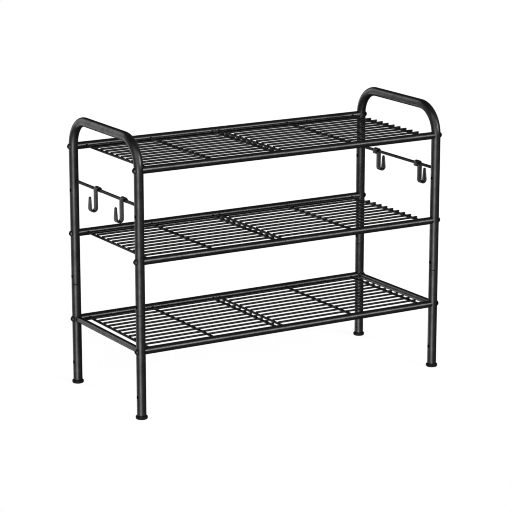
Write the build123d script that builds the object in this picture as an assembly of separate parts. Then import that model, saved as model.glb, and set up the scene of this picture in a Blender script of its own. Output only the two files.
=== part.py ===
from build123d import *
import os

# Three-tier knock-down shoe rack. Millimetres, +Z up, X from the left end to the right end,
# Y from the front to the back. The origin is on the floor, under the middle of the rack.

os.makedirs("parts", exist_ok=True)

# ---------------------------------------------------------------- driving dimensions
FRAME_SPAN = 710.0        # leg axis to leg axis, left frame to right frame
FRAME_DEPTH = 286.0       # leg axis to leg axis, front to back
FRAME_TOP = 577.0         # top of the handle tubes
BEND_RADIUS = 58.0        # centreline radius of the handle bends

LEG_OD = 19.0
LEG_WALL = 1.2
LEG_SEAM_Z = 216.0        # the upper frame stands on the lower legs here
NECK_LENGTH = 35.0        # reduced end of a lower leg, inside the upper frame
NECK_CLEARANCE = 0.1

FIRST_TIER_Z = 140.5      # rail axis of the lowest tier
TIER_PITCH = 184.0
TIERS = ("bottom", "middle", "top")
HOLE_PITCH = TIER_PITCH / 2
LOWEST_HOLE_Z = 46.0
HOLE_RADIUS = 3.5         # bolt holes, right through each leg along X

RUNG_OD = 12.7
RUNG_WALL = 1.0

RAIL_OD = 15.0
RAIL_WALL = 1.2
RAIL_SEAM_X = -21.0       # left and right half rails meet here
RAIL_NECK_LENGTH = 42.0   # reduced end of a left half rail, inside the right one

WIRE_RADIUS = 2.0
CROSS_WIRE_RADIUS = 2.4
LONG_WIRES = 11
LONG_WIRE_RISE = 3.8      # axes of the long wires above the rail axes
WELD_SINK = 0.2           # how far the long wires sink into the cross wires at each weld
END_CROSS_WIRE_X = 328.0
MIDDLE_STRIP = 8.0        # from the rail seam to each inner cross wire
WIRE_OVERHANG = 2.2       # a long wire's end past the axis of the last cross wire

FOOT_RADIUS = 12.0
FOOT_HEIGHT = 7.0
FOOT_ROUNDING = 2.4
FOOT_PLUG_LENGTH = 20.0
FOOT_PLUG_WALL = 2.2
FOOT_RIBS = 3             # rings round the plug that grip the leg's bore
FOOT_RIB_PITCH = 5.5
FOOT_RIB_WIDTH = 1.6
FOOT_RIB_HEIGHT = 0.9
FOOT_RIB_CLEARANCE = 0.03

HEAD_RADIUS = 6.2
HEAD_HEIGHT = 4.2
SOCKET_FLATS = 4.0
SOCKET_DEPTH = 1.8
SHANK_RADIUS = 2.95       # crest of the M6 thread
SHANK_LENGTH = 30.0
SHANK_POINT = 0.8         # bevel on the thread's end
INSERT_LENGTH = 14.0
INSERT_HOLE_RADIUS = 3.0

HOOK_BAR_Z = 437.0
HOOK_BAR_RADIUS = 3.0
HOOK_PLACES = {           # side, and the hook's place along its bar
    "left_rear_hook": (-1, 35.0),
    "left_front_hook": (-1, -78.0),
    "right_rear_hook": (1, 79.0),
    "right_front_hook": (1, -78.0),
}
HOOK_WIDTH = 13.0
HOOK_THICKNESS = 3.2
HOOK_CLEARANCE = 0.3
HOOK_GAP = 10.0           # clear width of the lower loop
HOOK_BOTTOM_Z = 392.0
HOOK_TIP_Z = 424.5
HOOK_FLAP_Z = 431.2       # end of the short flap behind the bar
HOOK_TIP_WIDTH = 7.0

EDGE_BREAK = 0.6          # small bevel on tube ends, seen as the line of a joint
COPE_CLEARANCE = 0.02     # bolted rail ends to the leg they are drawn against

# ---------------------------------------------------------------- worked-out sizes
LEG_R = LEG_OD / 2
LEG_BORE = LEG_R - LEG_WALL
NECK_R = LEG_BORE - NECK_CLEARANCE
RAIL_R = RAIL_OD / 2
RAIL_BORE = RAIL_R - RAIL_WALL
RAIL_NECK_R = RAIL_BORE - NECK_CLEARANCE
RUNG_R = RUNG_OD / 2
FRAME_X = FRAME_SPAN / 2
LEG_Y = FRAME_DEPTH / 2
HANDLE_Z = FRAME_TOP - LEG_R
tier_z = {tier: FIRST_TIER_Z + number * TIER_PITCH for number, tier in enumerate(TIERS)}
SIDES = {"left": -1, "right": 1}
ENDS = {"front": -1, "rear": 1}
FRAME_HOLES = [LOWEST_HOLE_Z] + [FIRST_TIER_Z + step * HOLE_PITCH for step in range(5)]


def save(name, shape):
    """Write one node, which may hold several separate solids."""
    export_step(shape, f"parts/{name}.step")


def bar(start, end, radius):
    """A round bar from start to end."""
    axis = Vector(*end) - Vector(*start)
    return extrude(Plane(origin=start, z_dir=axis.normalized()) * Circle(radius), amount=axis.length)


def disc(low, high, radius):
    """A round block about the Z axis, from one height to another."""
    return bar((0, 0, low), (0, 0, high), radius)


def tube(start, end, radius, bore):
    """A round tube from start to end."""
    axis = Vector(*end) - Vector(*start)
    ring = Circle(radius) - Circle(bore)
    return extrude(Plane(origin=start, z_dir=axis.normalized()) * ring, amount=axis.length)


def rim(shape, radius, test):
    """The circular edges of a given radius whose centre passes the test."""
    circles = shape.edges().filter_by(GeomType.CIRCLE)
    return [edge for edge in circles if abs(edge.radius - radius) < 1e-4 and test(edge.arc_center)]


def bent_path(side, bottom):
    """The centreline of one end's legs and handle, up from a given height and down again."""
    x = side * FRAME_X
    return FilletPolyline(
        (x, -LEG_Y, bottom),
        (x, -LEG_Y, HANDLE_Z),
        (x, LEG_Y, HANDLE_Z),
        (x, LEG_Y, bottom),
        radius=BEND_RADIUS,
    )


def sweep_upwards(side, bottom, section):
    """Sweep a flat section along the legs and handle of one end."""
    start = Plane(origin=(side * FRAME_X, -LEG_Y, bottom), z_dir=(0, 0, 1))
    return sweep(start * section, path=bent_path(side, bottom))


def frame_outside(side, clearance):
    """The outside of one end's legs, handle and rung as a solid, for coping what meets it."""
    z = FIRST_TIER_Z
    across = bar((side * FRAME_X, -LEG_Y, z), (side * FRAME_X, LEG_Y, z), RUNG_R + clearance)
    return sweep_upwards(side, 0, Circle(LEG_R + clearance)) + across


def bolt_holes(side, end, low, high):
    """Cylinders along X for the bolt holes of one leg between two heights."""
    reach = LEG_OD
    return [
        bar((side * FRAME_X - reach, end * LEG_Y, z), (side * FRAME_X + reach, end * LEG_Y, z), HOLE_RADIUS)
        for z in FRAME_HOLES
        if low < z < high
    ]


# ---------------------------------------------------------------- side frames
def upper_frame(side):
    """The bent tube that is both upper legs and the handle of one end."""
    frame = sweep_upwards(side, LEG_SEAM_Z, Circle(LEG_R) - Circle(LEG_BORE))
    frame = chamfer(rim(frame, LEG_R, lambda centre: abs(centre.Z - LEG_SEAM_Z) < 0.01), EDGE_BREAK)
    for end in ENDS.values():
        for hole in bolt_holes(side, end, LEG_SEAM_Z, FRAME_TOP):
            frame -= hole
    return frame


def lower_leg(side, end):
    """A straight leg whose reduced neck slides into the upper frame."""
    neck_bore = NECK_R - LEG_WALL
    shoulder = 4.0
    profile = Polyline(
        (LEG_BORE, FOOT_HEIGHT),
        (LEG_R - EDGE_BREAK, FOOT_HEIGHT),
        (LEG_R, FOOT_HEIGHT + EDGE_BREAK),
        (LEG_R, LEG_SEAM_Z - EDGE_BREAK),
        (LEG_R - EDGE_BREAK, LEG_SEAM_Z),
        (NECK_R, LEG_SEAM_Z),
        (NECK_R, LEG_SEAM_Z + NECK_LENGTH - 1),
        (NECK_R - 0.6, LEG_SEAM_Z + NECK_LENGTH),
        (neck_bore, LEG_SEAM_Z + NECK_LENGTH),
        (neck_bore, LEG_SEAM_Z - 1),
        (LEG_BORE, LEG_SEAM_Z - 1 - shoulder),
        close=True,
    )
    leg = revolve(Plane.XZ * make_face(profile), axis=Axis.Z)
    leg = Pos(side * FRAME_X, end * LEG_Y, 0) * leg
    for hole in bolt_holes(side, end, 0, LEG_SEAM_Z + NECK_LENGTH):
        leg -= hole
    return leg


def rung(side):
    """The welded tube that joins the two lower legs of one end."""
    ends = [(side * FRAME_X, end * LEG_Y, FIRST_TIER_Z) for end in ENDS.values()]
    return tube(*ends, RUNG_R, RUNG_R - RUNG_WALL) - sweep_upwards(side, 0, Circle(LEG_R))


def hook_bar(side):
    """The welded bar that carries the hooks of one end."""
    ends = [(side * FRAME_X, end * LEG_Y, HOOK_BAR_Z) for end in ENDS.values()]
    return bar(*ends, HOOK_BAR_RADIUS) - sweep_upwards(side, 0, Circle(LEG_R))


def foot(side, end):
    """A moulded cap: a round flange to stand on and a ribbed plug up the leg's bore."""
    core = LEG_BORE - FOOT_RIB_HEIGHT
    cap = fillet(disc(0, FOOT_HEIGHT, FOOT_RADIUS).edges(), FOOT_ROUNDING)
    cap += disc(FOOT_HEIGHT / 2, FOOT_HEIGHT + FOOT_PLUG_LENGTH, core)
    for rib in range(FOOT_RIBS):
        z = FOOT_HEIGHT + FOOT_RIB_PITCH * (rib + 0.75)
        cap += disc(z, z + FOOT_RIB_WIDTH, LEG_BORE - FOOT_RIB_CLEARANCE)
    cap -= disc(FOOT_HEIGHT - 2, FOOT_HEIGHT + FOOT_PLUG_LENGTH + 1, core - FOOT_PLUG_WALL)
    return Pos(side * FRAME_X, end * LEG_Y, 0) * cap


for side_name, side in SIDES.items():
    save(f"{side_name}_upper_frame", upper_frame(side))
    save(f"{side_name}_rung", rung(side))
    save(f"{side_name}_hook_bar", hook_bar(side))
    for end_name, end in ENDS.items():
        save(f"{side_name}_{end_name}_lower_leg", lower_leg(side, end))
        save(f"{side_name}_{end_name}_foot", foot(side, end))


# ---------------------------------------------------------------- tiers
def half_rail(side, end, z, frame):
    """Half of a front or rear rail: coped against the frame, joined to its other half at the seam."""
    y = end * LEG_Y
    rail = tube((RAIL_SEAM_X, y, z), (side * FRAME_X, y, z), RAIL_R, RAIL_BORE)
    rail = chamfer(rim(rail, RAIL_R, lambda centre: abs(centre.X - RAIL_SEAM_X) < 0.01), EDGE_BREAK)
    if side == SIDES["left"]:
        step_length = 6.0
        step_radius = RAIL_BORE + RAIL_WALL / 4
        neck_bore = RAIL_NECK_R - RAIL_WALL
        rail += tube((RAIL_SEAM_X, y, z), (RAIL_SEAM_X + RAIL_NECK_LENGTH, y, z), RAIL_NECK_R, neck_bore)
        rail += tube((RAIL_SEAM_X - step_length, y, z), (RAIL_SEAM_X, y, z), step_radius, neck_bore)
    return rail - frame


def cross_wire_places(side):
    """X of the outer, middle and inner cross wires of one half tier."""
    outer = side * END_CROSS_WIRE_X
    inner = RAIL_SEAM_X + side * MIDDLE_STRIP
    return outer, (outer + inner) / 2, inner


def cross_wires(side, z):
    """Three short, thicker wires from the front rail to the rear rail, under the long wires."""
    reach = LEG_Y - RAIL_R
    height = z + LONG_WIRE_RISE - WIRE_RADIUS + WELD_SINK - CROSS_WIRE_RADIUS
    return [
        bar((x, -reach, height), (x, reach, height), CROSS_WIRE_RADIUS)
        for x in cross_wire_places(side)
    ]


def long_wires(side, z):
    """The wires that the shoes stand on, evenly spaced between the rails, on top of the cross wires."""
    outer, _, inner = cross_wire_places(side)
    start = inner - side * WIRE_OVERHANG
    finish = outer + side * WIRE_OVERHANG
    pitch = 2 * (LEG_Y - RAIL_R) / (LONG_WIRES + 1)
    height = z + LONG_WIRE_RISE
    wires = []
    for number in range(LONG_WIRES):
        y = (number - (LONG_WIRES - 1) / 2) * pitch
        wires.append(bar((start, y, height), (finish, y, height), WIRE_RADIUS))
    return wires


def rail_insert(side, end, z):
    """A threaded plug pressed into the end of a rail."""
    y = end * LEG_Y
    face = side * (FRAME_X - LEG_R - 0.2)
    return tube((face, y, z), (face - side * INSERT_LENGTH, y, z), RAIL_BORE, INSERT_HOLE_RADIUS)


def make_bolt():
    """A button-head bolt along X: the head's seat is at the origin, the head towards +X."""
    sphere_radius = (HEAD_RADIUS**2 + HEAD_HEIGHT**2) / (2 * HEAD_HEIGHT)
    dome = Pos(0, 0, HEAD_HEIGHT - sphere_radius) * Sphere(sphere_radius)
    head = dome & disc(0, 2 * HEAD_HEIGHT, 2 * HEAD_RADIUS)
    socket = RegularPolygon(SOCKET_FLATS / 2, 6, major_radius=False)
    head -= extrude(Plane.XY.offset(HEAD_HEIGHT - SOCKET_DEPTH) * socket, amount=2 * SOCKET_DEPTH)
    shank = disc(-SHANK_LENGTH, 0, SHANK_RADIUS)
    shank = chamfer(rim(shank, SHANK_RADIUS, lambda centre: centre.Z < -1), SHANK_POINT)
    return Rot(0, 90, 0) * (head + shank)


def bolt_at(bolt, side, end, z):
    """One bolt through a leg into its rail, with its head on the outside of the rack."""
    turn = Rot(0, 0, 0 if side > 0 else 180)
    return Pos(side * (FRAME_X + LEG_R), end * LEG_Y, z) * turn * bolt


bolt = make_bolt()
frames = {side: frame_outside(side, COPE_CLEARANCE) for side in SIDES.values()}
for tier, z in tier_z.items():
    corners = [(side, end) for side in SIDES.values() for end in ENDS.values()]
    save(f"{tier}_tier_bolts", Compound(children=[bolt_at(bolt, side, end, z) for side, end in corners]))
    save(f"{tier}_tier_inserts", Compound(children=[rail_insert(side, end, z) for side, end in corners]))
    for side_name, side in SIDES.items():
        save(f"{tier}_{side_name}_cross_wires", Compound(children=cross_wires(side, z)))
        save(f"{tier}_{side_name}_long_wires", Compound(children=long_wires(side, z)))
        for end_name, end in ENDS.items():
            save(f"{tier}_{side_name}_{end_name}_rail", half_rail(side, end, z, frames[side]))


# ---------------------------------------------------------------- hooks
def make_hook():
    """A flat-band S hook, drawn in X and Z about its bar: +X is away from the rack."""
    half = HOOK_THICKNESS / 2
    curl = HOOK_BAR_RADIUS + HOOK_CLEARANCE + half
    loop = HOOK_GAP / 2 + half
    shank_x = curl
    arm_x = curl + 2 * loop
    loop_z = HOOK_BOTTOM_Z + HOOK_THICKNESS + HOOK_GAP / 2 - HOOK_BAR_Z
    tip_z = HOOK_TIP_Z - HOOK_BAR_Z
    flap_z = HOOK_FLAP_Z - HOOK_BAR_Z
    centreline = [
        Line((-curl, flap_z), (-curl, 0)),
        ThreePointArc((-curl, 0), (0, curl), (curl, 0)),
        Line((shank_x, 0), (shank_x, loop_z)),
        ThreePointArc((shank_x, loop_z), (shank_x + loop, loop_z - loop), (arm_x, loop_z)),
        Line((arm_x, loop_z), (arm_x, tip_z)),
    ]
    profile = trace(Wire(centreline), HOOK_THICKNESS)
    band = extrude(Plane.XZ * profile, amount=HOOK_WIDTH / 2, both=True)
    return taper_arm(band, arm_x, loop_z, tip_z)


def taper_arm(band, arm_x, loop_z, tip_z):
    """Narrow the free arm towards its rounded tip."""
    tip_half = HOOK_TIP_WIDTH / 2
    wide_half = HOOK_WIDTH / 2
    past_tip = tip_z + HOOK_TIP_WIDTH
    waste = make_face(
        [
            Line((wide_half, loop_z), (tip_half, tip_z - tip_half)),
            ThreePointArc((tip_half, tip_z - tip_half), (0, tip_z), (-tip_half, tip_z - tip_half)),
            Line((-tip_half, tip_z - tip_half), (-wide_half, loop_z)),
            Polyline(
                (-wide_half, loop_z),
                (-HOOK_WIDTH, loop_z),
                (-HOOK_WIDTH, past_tip),
                (HOOK_WIDTH, past_tip),
                (HOOK_WIDTH, loop_z),
                (wide_half, loop_z),
            ),
        ]
    )
    arm_side = Plane(origin=(arm_x - HOOK_THICKNESS, 0, 0), x_dir=(0, 1, 0), z_dir=(1, 0, 0))
    return band - extrude(arm_side * waste, amount=2 * HOOK_THICKNESS)


hook = make_hook()
for name, (side, y) in HOOK_PLACES.items():
    turn = Rot(0, 0, 0 if side > 0 else 180)
    save(name, Pos(side * FRAME_X, y, HOOK_BAR_Z) * turn * hook)
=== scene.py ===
import math

import bpy
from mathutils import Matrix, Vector


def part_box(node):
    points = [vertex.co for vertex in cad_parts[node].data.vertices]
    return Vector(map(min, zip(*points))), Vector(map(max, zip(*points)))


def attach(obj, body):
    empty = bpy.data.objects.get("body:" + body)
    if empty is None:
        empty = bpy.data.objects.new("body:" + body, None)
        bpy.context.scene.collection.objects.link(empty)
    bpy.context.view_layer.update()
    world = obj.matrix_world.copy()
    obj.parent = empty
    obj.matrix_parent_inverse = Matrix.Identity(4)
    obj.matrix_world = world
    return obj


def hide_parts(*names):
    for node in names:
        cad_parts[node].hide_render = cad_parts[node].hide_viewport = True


# Three-tier shoe rack of black powder-coated steel tube and wire. Metres, +Z up, in the CAD frame.

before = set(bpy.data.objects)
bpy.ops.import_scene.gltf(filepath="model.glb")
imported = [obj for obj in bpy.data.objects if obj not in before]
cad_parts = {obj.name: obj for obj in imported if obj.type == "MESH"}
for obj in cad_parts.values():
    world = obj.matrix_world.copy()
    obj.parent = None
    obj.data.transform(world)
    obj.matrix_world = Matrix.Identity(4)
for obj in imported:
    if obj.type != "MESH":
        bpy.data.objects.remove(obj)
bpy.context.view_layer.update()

MM = 0.001
SIDES = {"left": -1, "right": 1}
ENDS = {"front": -1, "rear": 1}
TIERS = ("bottom", "middle", "top")

# ---------------------------------------------------------------- camera
CAMERA_PLACE = (-2.359, -3.941, 1.408)
CAMERA_TURN = 30.88        # degrees, from +Y towards +X
CAMERA_TILT = 14.03        # degrees below the horizon
CAMERA_LENS = 157.6        # on a sensor 36 wide


def make_camera():
    data = bpy.data.cameras.new("camera")
    data.sensor_fit = "HORIZONTAL"
    data.sensor_width = 36.0
    data.lens = CAMERA_LENS
    data.clip_start = 0.1
    data.clip_end = 60.0
    camera = bpy.data.objects.new("camera", data)
    bpy.context.scene.collection.objects.link(camera)
    camera.location = CAMERA_PLACE
    camera.rotation_euler = (math.radians(90 - CAMERA_TILT), 0, math.radians(-CAMERA_TURN))
    bpy.context.scene.camera = camera


# ---------------------------------------------------------------- node helpers
NOISE_START, NOISE_STOP = 0.3, 0.7     # the part of a noise's range that is spread over two values


class Nodes:
    """A short way to write a node tree."""

    def __init__(self, tree):
        self.tree = tree
        tree.nodes.clear()

    def add(self, kind, **settings):
        node = self.tree.nodes.new(kind)
        for name, value in settings.items():
            setattr(node, name, value)
        return node

    def link(self, source, target):
        self.tree.links.new(source, target)


def noise(nodes, coords, scale, detail=2.0, roughness=0.5):
    node = nodes.add("ShaderNodeTexNoise")
    node.inputs["Scale"].default_value = scale
    node.inputs["Detail"].default_value = detail
    node.inputs["Roughness"].default_value = roughness
    nodes.link(coords.outputs["Object"], node.inputs["Vector"])
    return node.outputs["Fac"]


def remap(nodes, value, low, high, start=NOISE_START, stop=NOISE_STOP, interpolation="LINEAR"):
    """low where value is start or less, high where it is stop or more."""
    node = nodes.add("ShaderNodeMapRange", interpolation_type=interpolation)
    node.inputs["From Min"].default_value = start
    node.inputs["From Max"].default_value = stop
    node.inputs["To Min"].default_value = low
    node.inputs["To Max"].default_value = high
    nodes.link(value, node.inputs["Value"])
    return node.outputs["Result"]


def two_tones(nodes, factor, dark, light):
    node = nodes.add("ShaderNodeValToRGB")
    node.color_ramp.elements[0].position = NOISE_START
    node.color_ramp.elements[0].color = (*dark, 1)
    node.color_ramp.elements[1].position = NOISE_STOP
    node.color_ramp.elements[1].color = (*light, 1)
    nodes.link(factor, node.inputs["Fac"])
    return node.outputs["Color"]


def calculate(nodes, operation, *values):
    """One arithmetic step on numbers or sockets."""
    node = nodes.add("ShaderNodeMath", operation=operation)
    for socket, value in zip(node.inputs, values):
        if isinstance(value, (int, float)):
            socket.default_value = value
        else:
            nodes.link(value, socket)
    return node.outputs[0]


# ---------------------------------------------------------------- finishes
TONE_SCALE = 55.0          # patches to the metre
GLOSS_SCALE = 130.0


def coated(name, dark, light, rough, peel, depth, metallic=0.67, specular=0.0, rim=0.45):
    """A satin surface: fine peel in its relief, soft patches in its gloss and tone.

    peel and depth are the width and height of the relief. The metallic share is the sheen and the rest is
    the paint's own colour; rim is the sheen at a glancing angle.
    """
    material = bpy.data.materials.new(name)
    material.use_nodes = True
    nodes = Nodes(material.node_tree)
    coords = nodes.add("ShaderNodeTexCoord")
    shader = nodes.add("ShaderNodeBsdfPrincipled")
    output = nodes.add("ShaderNodeOutputMaterial")
    tone = noise(nodes, coords, TONE_SCALE, 3.0)
    nodes.link(two_tones(nodes, tone, dark, light), shader.inputs["Base Color"])
    gloss = noise(nodes, coords, GLOSS_SCALE, 4.0, 0.6)
    nodes.link(remap(nodes, gloss, *rough), shader.inputs["Roughness"])
    bump = nodes.add("ShaderNodeBump")
    bump.inputs["Strength"].default_value = 1.0
    bump.inputs["Distance"].default_value = depth
    nodes.link(noise(nodes, coords, 1.0 / peel, 2.0), bump.inputs["Height"])
    nodes.link(bump.outputs["Normal"], shader.inputs["Normal"])
    shader.inputs["Specular IOR Level"].default_value = specular
    shader.inputs["Specular Tint"].default_value = (rim, rim, rim, 1)
    shader.inputs["Metallic"].default_value = metallic
    nodes.link(shader.outputs["BSDF"], output.inputs["Surface"])
    return material


MATERIALS = {
    "frame_steel": coated("frame_coat", (0.052,) * 3, (0.068,) * 3, (0.27, 0.33), 0.0016, 0.000006),
    "rail_steel": coated("rail_coat", (0.052,) * 3, (0.066,) * 3, (0.27, 0.33), 0.0014, 0.000006),
    "wire_steel": coated("wire_coat", (0.030,) * 3, (0.040,) * 3, (0.28, 0.36), 0.0010, 0.000004),
    "hook_steel": coated("hook_coat", (0.048,) * 3, (0.062,) * 3, (0.28, 0.36), 0.0012, 0.000005),
    "bolt_steel": coated(
        "black_oxide", (0.040,) * 3, (0.065,) * 3, (0.30, 0.40), 0.0006, 0.000003,
        metallic=0.8,
    ),
    "insert_steel": coated(
        "zinc", (0.42, 0.43, 0.44), (0.55, 0.56, 0.57), (0.28, 0.40), 0.0008, 0.000002,
        metallic=1.0, specular=0.5, rim=1.0,
    ),
    "foot_plastic": coated(
        "moulded_plastic", (0.022,) * 3, (0.030,) * 3, (0.42, 0.55), 0.0007, 0.000008,
        metallic=0.5,
    ),
}


# ---------------------------------------------------------------- mesh helpers
class Builder:
    """Collects closed shells into one mesh."""

    def __init__(self):
        self.points = []
        self.faces = []

    def loft(self, rings, closed=False):
        """Skin a list of rings, each a list of points.

        The ends are capped unless the rings close on themselves.
        """
        base = len(self.points)
        sides = len(rings[0])
        for ring in rings:
            self.points.extend(ring)
        count = len(rings)
        for i in range(count if closed else count - 1):
            a, b = base + i * sides, base + (i + 1) % count * sides
            for k in range(sides):
                m = (k + 1) % sides
                self.faces.append((a + k, a + m, b + m, b + k))
        if not closed:
            self.faces.append(tuple(base + k for k in reversed(range(sides))))
            last = base + (count - 1) * sides
            self.faces.append(tuple(last + k for k in range(sides)))

    def piece(self, name, slot, body):
        mesh = bpy.data.meshes.new(name)
        mesh.from_pydata([tuple(p) for p in self.points], [], self.faces)
        mesh.validate()
        mesh.polygons.foreach_set("use_smooth", [True] * len(mesh.polygons))
        mesh.materials.append(MATERIALS[slot])
        obj = bpy.data.objects.new(name, mesh)
        bpy.context.scene.collection.objects.link(obj)
        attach(obj, body)
        return obj


def bead(builder, centre, outward, across, host_radius, radius, size, ripples, phase):
    """A weld bead round a bar that meets a round tube.

    centre is on the tube's axis, outward points along the bar, and across is the direction, square to
    both axes, in which the tube's surface curves away. host_radius is the tube's and radius the bar's.
    """
    steps, sides = 40, 8
    ripple, wobble = 0.10, 0.06        # shares of the bead's size
    swell = 0.3 * size                 # how far the bead's middle stands off both surfaces
    outward, across = Vector(outward), Vector(across)
    along = outward.cross(across)
    rings = []
    for i in range(steps):
        turn = 2 * math.pi * i / steps
        side = (radius + swell) * math.cos(turn)
        lift = math.sqrt((host_radius + swell) ** 2 - side**2)
        spot = Vector(centre) + across * side + along * (radius + swell) * math.sin(turn) + outward * lift
        away = (across * math.cos(turn) + along * math.sin(turn)).normalized()
        change = ripple * math.sin(ripples * turn + phase)
        slow_change = wobble * math.sin(3 * turn + 2 * phase)
        thick = size * (1 + change + slow_change)
        ring = []
        for k in range(sides):
            angle = 2 * math.pi * k / sides
            ring.append(spot + away * thick * math.cos(angle) + outward * thick * math.sin(angle))
        rings.append(ring)
    builder.loft(rings, closed=True)


def nugget(builder, centre, width, height):
    """The small squeezed lump where two crossing wires are welded."""
    sides = 10
    rings = []
    for level in (-0.92, -0.7, -0.3, 0.3, 0.7, 0.92):      # shares of the half height
        radius = width * math.sqrt(1 - level * level)
        ring = []
        for k in range(sides):
            angle = 2 * math.pi * k / sides
            offset = Vector((radius * math.cos(angle), radius * math.sin(angle), level * height))
            ring.append(Vector(centre) + offset)
        rings.append(ring)
    builder.loft(rings)


def wire_end(builder, centre, direction, radius):
    """A wire's end, rounded over by its coat."""
    sides = 16
    bulge = 0.2 * radius                   # how far the coat stands out past the cut
    square, round_share = 0.82, 0.18       # how much of the profile is a flat end and how much a dome
    rings = []
    for angle in (-8, 10, 32, 54, 74, 85):
        turn = math.radians(angle)
        out = bulge * math.sin(turn)
        wide = radius * (square + round_share * math.cos(turn)) * math.cos(turn) ** 0.5
        ring = []
        for k in range(sides):
            spin = 2 * math.pi * k / sides * direction
            offset = Vector((direction * out, wide * math.cos(spin), wide * math.sin(spin)))
            ring.append(Vector(centre) + offset)
        rings.append(ring)
    builder.loft(rings)


# ---------------------------------------------------------------- sizes read from the CAD nodes
def middle(node):
    low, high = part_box(node)
    return (Vector(low) + Vector(high)) / 2


def half_size(node, axis):
    low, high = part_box(node)
    return (high[axis] - low[axis]) / 2


LEG_R = half_size("left_front_lower_leg", 0)
RUNG_R = half_size("left_rung", 2)
HOOK_BAR_R = half_size("left_hook_bar", 2)
RAIL_R = half_size("bottom_left_front_rail", 2)
WIRE_R = half_size("bottom_left_long_wires", 2)
CROSS_R = half_size("bottom_left_cross_wires", 2)
LEG_X = middle("right_front_lower_leg").x
LEG_Y = middle("right_rear_lower_leg").y
LONG_WIRES = 11            # in each half of a tier

# ---------------------------------------------------------------- welds of the two side frames
RUNG_BEAD = 1.5 * MM
HOOK_BAR_BEAD = 0.55 * MM      # small, because a hook slides right up to it
CROSS_WIRE_BEAD = 0.8 * MM

for side_name, side in SIDES.items():
    builder = Builder()
    for node, radius, size, ripples in (
        (f"{side_name}_rung", RUNG_R, RUNG_BEAD, 17),
        (f"{side_name}_hook_bar", HOOK_BAR_R, HOOK_BAR_BEAD, 9),
    ):
        height = middle(node).z
        for end in ENDS.values():
            centre = (side * LEG_X, end * LEG_Y, height)
            bead(builder, centre, (0, -end, 0), (1, 0, 0), LEG_R, radius, size, ripples, side + 2 * end)
    builder.piece(f"{side_name}_frame_welds", "frame_steel", "rack")

# ---------------------------------------------------------------- welds and wire ends of the tiers
NUGGET_WIDTH = 1.75 * MM
NUGGET_HEIGHT = 1.0 * MM
NUGGET_CHANGE = 0.12           # how much the nuggets differ from one another

for tier in TIERS:
    for side_name, side in SIDES.items():
        welds = Builder()
        ends = Builder()
        low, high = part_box(f"{tier}_{side_name}_long_wires")
        cross_low, cross_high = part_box(f"{tier}_{side_name}_cross_wires")
        cross_z = (cross_low[2] + cross_high[2]) / 2
        long_z = (low[2] + high[2]) / 2
        spread = high[1] - low[1] - 2 * WIRE_R
        xs = [cross_low[0] + CROSS_R, (cross_low[0] + cross_high[0]) / 2, cross_high[0] - CROSS_R]
        ys = [low[1] + WIRE_R + spread * n / (LONG_WIRES - 1) for n in range(LONG_WIRES)]
        for number, x in enumerate(xs):
            for end in ENDS.values():
                bead(
                    welds, (x, end * LEG_Y, cross_z), (0, -end, 0), (0, 0, 1),
                    RAIL_R, CROSS_R, CROSS_WIRE_BEAD, 7, number + end + side,
                )
            for count, y in enumerate(ys):
                change = NUGGET_CHANGE * math.sin(5.1 * count + 2.3 * number + side)
                nugget(welds, (x, y, long_z - WIRE_R), NUGGET_WIDTH * (1 + change), NUGGET_HEIGHT)
        for y in ys:
            wire_end(ends, (low[0], y, long_z), -1, WIRE_R)
            wire_end(ends, (high[0], y, long_z), 1, WIRE_R)
        welds.piece(f"{tier}_{side_name}_wire_welds", "wire_steel", "rack")
        ends.piece(f"{tier}_{side_name}_wire_ends", "wire_steel", "rack")

# ---------------------------------------------------------------- hooks
HOOK_THICK = 3.2 * MM
HOOK_WIDE = 13.0 * MM
HOOK_CLEAR = 0.3 * MM          # between the bar and the band
HOOK_GAP = 10.0 * MM           # inside the lower loop
HOOK_TIP = 7.0 * MM            # width of the arm at its free end
HOOK_TIP_DROP = 12.5 * MM      # bar axis down to the free tip
HOOK_FLAP_DROP = 5.8 * MM      # bar axis down to the end of the short flap
HOOK_ROUNDING = 0.75 * MM      # of the band's long edges
HOOK_TIP_LEAST = 0.3 * MM      # half width of the last section of the round tip
HOOK_TIP_THICK = 0.9 * MM      # and its half thickness

# The rounded end of the flap: distance from the end and the half sizes' reduction there, in millimetres.
FLAP_ROUNDING = ((0.0, 0.75), (0.10, 0.42), (0.35, 0.14), (0.75, 0.0))

FLAP_STEPS = 4
CURL_STEPS = 16
SHANK_STEPS = 10
LOOP_STEPS = 20
ARM_STEPS = 24


def hook_line(bottom_drop):
    """The band's centreline from the flap to the tip, as points and directions in (outward, up)."""
    half = HOOK_THICK / 2
    curl = HOOK_BAR_R + HOOK_CLEAR + half
    loop = HOOK_GAP / 2 + half
    loop_z = -bottom_drop + HOOK_THICK + HOOK_GAP / 2
    line = []
    for step in range(FLAP_STEPS):
        height = -HOOK_FLAP_DROP + HOOK_FLAP_DROP * step / FLAP_STEPS
        line.append((Vector((-curl, height)), Vector((0, 1))))
    for step in range(CURL_STEPS + 1):
        turn = math.pi - math.pi * step / CURL_STEPS
        spot = Vector((math.cos(turn), math.sin(turn))) * curl
        line.append((spot, Vector((math.sin(turn), -math.cos(turn)))))
    for step in range(1, SHANK_STEPS):
        line.append((Vector((curl, loop_z * step / SHANK_STEPS)), Vector((0, -1))))
    for step in range(LOOP_STEPS + 1):
        turn = math.pi + math.pi * step / LOOP_STEPS
        spot = Vector((curl + loop, loop_z)) + Vector((math.cos(turn), math.sin(turn))) * loop
        line.append((spot, Vector((-math.sin(turn), math.cos(turn)))))
    arm = -HOOK_TIP_DROP - loop_z
    for step in range(1, ARM_STEPS + 1):
        line.append((Vector((curl + 2 * loop, loop_z + arm * step / ARM_STEPS)), Vector((0, 1))))
    return line, loop_z


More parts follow.
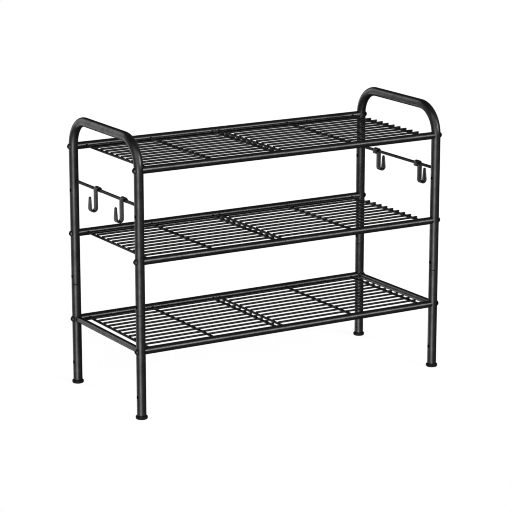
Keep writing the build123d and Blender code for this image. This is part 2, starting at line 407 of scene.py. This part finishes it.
def rounded_section(half_wide, half_thick, rounding):
    """Points round a rectangle with rounded corners, as (across, through)."""
    steps = 4
    rounding = min(rounding, half_wide * 0.999, half_thick * 0.999)
    points = []
    for corner_w, corner_t, start in ((1, 1, 0), (-1, 1, 90), (-1, -1, 180), (1, -1, 270)):
        for step in range(steps + 1):
            turn = math.radians(start + 90 / steps * step)
            across = corner_w * (half_wide - rounding) + rounding * math.cos(turn)
            through = corner_t * (half_thick - rounding) + rounding * math.sin(turn)
            points.append((across, through))
    return points


def hook_sections(bottom_drop):
    """The band's sections from the flap to the tip: place, direction, half width and half thickness."""
    line, loop_z = hook_line(bottom_drop)
    tip_half = HOOK_TIP / 2
    taper_stop = -HOOK_TIP_DROP - tip_half
    arm_start = len(line) - ARM_STEPS
    sections = []
    for number, (spot, heading) in enumerate(line):
        half_wide = HOOK_WIDE / 2
        half_thick = HOOK_THICK / 2
        if number >= arm_start:
            half_wide += (tip_half - half_wide) * min(1.0, (spot.y - loop_z) / (taper_stop - loop_z))
            left = -HOOK_TIP_DROP - spot.y
            if left < tip_half:
                half_wide = math.sqrt(max(0.0, tip_half**2 - (tip_half - left) ** 2))
        if half_wide < HOOK_TIP_LEAST:
            half_wide = HOOK_TIP_LEAST
            half_thick = HOOK_TIP_THICK
        sections.append((spot, heading, half_wide, half_thick))
    spot, heading, half_wide, half_thick = sections[0]
    flap_end = []
    for back, shrink in FLAP_ROUNDING:
        place = spot + heading * back * MM
        flap_end.append((place, heading, half_wide - shrink * MM, half_thick - shrink * MM))
    return flap_end + sections[1:]


def make_hook(name):
    """A bent flat band with rounded edges, a tapered arm and a round tip."""
    side_name = name.split("_")[0]
    side = SIDES[side_name]
    low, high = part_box(name)
    bar = middle(f"{side_name}_hook_bar")
    centre = Vector((bar.x, (low[1] + high[1]) / 2, bar.z))
    rings = []
    for spot, heading, half_wide, half_thick in hook_sections(bar.z - low[2]):
        normal = Vector((-heading.y, heading.x))
        ring = []
        for across, through in rounded_section(half_wide, half_thick, HOOK_ROUNDING):
            flat = spot + normal * through
            ring.append(centre + Vector((side * flat.x, side * across, flat.y)))
        rings.append(ring)
    builder = Builder()
    builder.loft(rings)
    hook = builder.piece(f"{name}_band", "hook_steel", name)
    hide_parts(name)


for hook_name in ("left_rear_hook", "left_front_hook", "right_rear_hook", "right_front_hook"):
    make_hook(hook_name)

# ---------------------------------------------------------------- finishes of the CAD nodes
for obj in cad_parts.values():
    slot = obj.data.materials[0].name.split(".")[0]
    obj.data.materials[0] = MATERIALS[slot]

# ---------------------------------------------------------------- floor
FLOOR_HALF = 9.0
FLOOR_DROP = 0.0002        # keeps the floor clear of the feet's undersides
FLOOR_ALBEDO = 0.06
FLOOR_GLOW = 0.93          # with the light it reflects, this makes the floor a plain white


def pale_floor():
    """A finish that the camera sees as white, apart from the soft shadows at the feet."""
    material = bpy.data.materials.new("pale_floor")
    material.use_nodes = True
    nodes = Nodes(material.node_tree)
    coords = nodes.add("ShaderNodeTexCoord")
    path = nodes.add("ShaderNodeLightPath")
    glow = nodes.add("ShaderNodeEmission")
    strength = calculate(nodes, "MULTIPLY", path.outputs["Is Camera Ray"], FLOOR_GLOW)
    nodes.link(strength, glow.inputs["Strength"])
    diffuse = nodes.add("ShaderNodeBsdfDiffuse")
    tone = noise(nodes, coords, 0.8, 2.0)
    tones = two_tones(nodes, tone, (FLOOR_ALBEDO * 0.985,) * 3, (FLOOR_ALBEDO,) * 3)
    nodes.link(tones, diffuse.inputs["Color"])
    both = nodes.add("ShaderNodeAddShader")
    output = nodes.add("ShaderNodeOutputMaterial")
    nodes.link(diffuse.outputs[0], both.inputs[0])
    nodes.link(glow.outputs[0], both.inputs[1])
    nodes.link(both.outputs[0], output.inputs["Surface"])
    return material


def make_floor():
    mesh = bpy.data.meshes.new("floor")
    corners = [(x * FLOOR_HALF, y * FLOOR_HALF, 0) for x, y in ((-1, -1), (1, -1), (1, 1), (-1, 1))]
    mesh.from_pydata(corners, [], [(0, 1, 2, 3)])
    mesh.materials.append(pale_floor())
    floor = bpy.data.objects.new("floor", mesh)
    bpy.context.scene.collection.objects.link(floor)
    floor.location.z = -FLOOR_DROP
    floor.visible_glossy = False
    floor.visible_diffuse = False
    floor.visible_shadow = False


# ---------------------------------------------------------------- light
# Soft panels of studio light, far from the rack: where each is, and how bright.
# azimuth is from the front (-Y) towards the right (+X) and elevation is above the horizon, in degrees.
AMBIENT = 0.03
PANELS = (
    # azimuth, half width, lowest, highest, soft edge, radiance
    (-45.0, 15.0, -30.0, 2.0, 10.0, 5.4),      # beside the camera, low
    (29.0, 16.0, 3.0, 34.0, 12.0, 11.8),       # front right, high
    (-42.0, 36.0, -60.0, 58.0, 16.0, 3.0),     # broad light from the front left
    (12.0, 16.0, 2.0, 58.0, 14.0, 2.6),        # its spill towards the right
    (-115.0, 45.0, -60.0, 32.0, 16.0, 1.1),    # left wall and its ground
    (-166.0, 18.0, -54.0, 34.0, 16.0, 9.0),    # rear left corner
    (110.0, 46.0, 2.0, 50.0, 14.0, 0.8),       # right wall
    (127.0, 22.0, -28.0, 4.0, 10.0, 2.2),      # low on the right, behind
)


def panel_light(nodes, azimuth_deg, elevation_deg, panel):
    """One panel's light by direction: its radiance inside, none outside, and a soft edge between."""
    azimuth, half_width, low, high, edge, radiance = panel
    offset = calculate(nodes, "SUBTRACT", azimuth_deg, azimuth)
    beside = calculate(nodes, "ABSOLUTE", calculate(nodes, "WRAP", offset, 180.0, -180.0))
    rise = calculate(nodes, "SUBTRACT", elevation_deg, (low + high) / 2)
    above = calculate(nodes, "ABSOLUTE", rise)
    shares = []
    for distance, half in ((beside, half_width), (above, (high - low) / 2)):
        shares.append(remap(nodes, distance, 1.0, 0.0, half - edge / 2, half + edge / 2, "SMOOTHSTEP"))
    return calculate(nodes, "MULTIPLY", calculate(nodes, "MULTIPLY", *shares), radiance)


def make_world():
    world = bpy.data.worlds.new("studio")
    bpy.context.scene.world = world
    world.use_nodes = True
    nodes = Nodes(world.node_tree)
    coords = nodes.add("ShaderNodeTexCoord")
    split = nodes.add("ShaderNodeSeparateXYZ")
    nodes.link(coords.outputs["Generated"], split.inputs[0])
    to_right, to_rear, up = split.outputs
    to_front = calculate(nodes, "MULTIPLY", to_rear, -1.0)
    azimuth_deg = calculate(nodes, "DEGREES", calculate(nodes, "ARCTAN2", to_right, to_front))
    elevation_deg = calculate(nodes, "DEGREES", calculate(nodes, "ARCSINE", up))
    total = AMBIENT
    for panel in PANELS:
        total = calculate(nodes, "ADD", panel_light(nodes, azimuth_deg, elevation_deg, panel), total)
    room = nodes.add("ShaderNodeBackground")
    nodes.link(total, room.inputs["Strength"])
    seen = nodes.add("ShaderNodeBackground")       # plain white behind the floor's edge
    for background in (room, seen):
        background.inputs["Color"].default_value = (1, 1, 1, 1)
    path = nodes.add("ShaderNodeLightPath")
    mix = nodes.add("ShaderNodeMixShader")
    output = nodes.add("ShaderNodeOutputWorld")
    nodes.link(path.outputs["Is Camera Ray"], mix.inputs[0])
    nodes.link(room.outputs[0], mix.inputs[1])
    nodes.link(seen.outputs[0], mix.inputs[2])
    nodes.link(mix.outputs[0], output.inputs["Surface"])


make_camera()
make_floor()
make_world()
bpy.context.scene.view_settings.view_transform = "Standard"
bpy.context.scene.view_settings.look = "None"
bpy.context.scene.view_settings.gamma = 0.62
bpy.context.scene.cycles.filter_width = 1.1
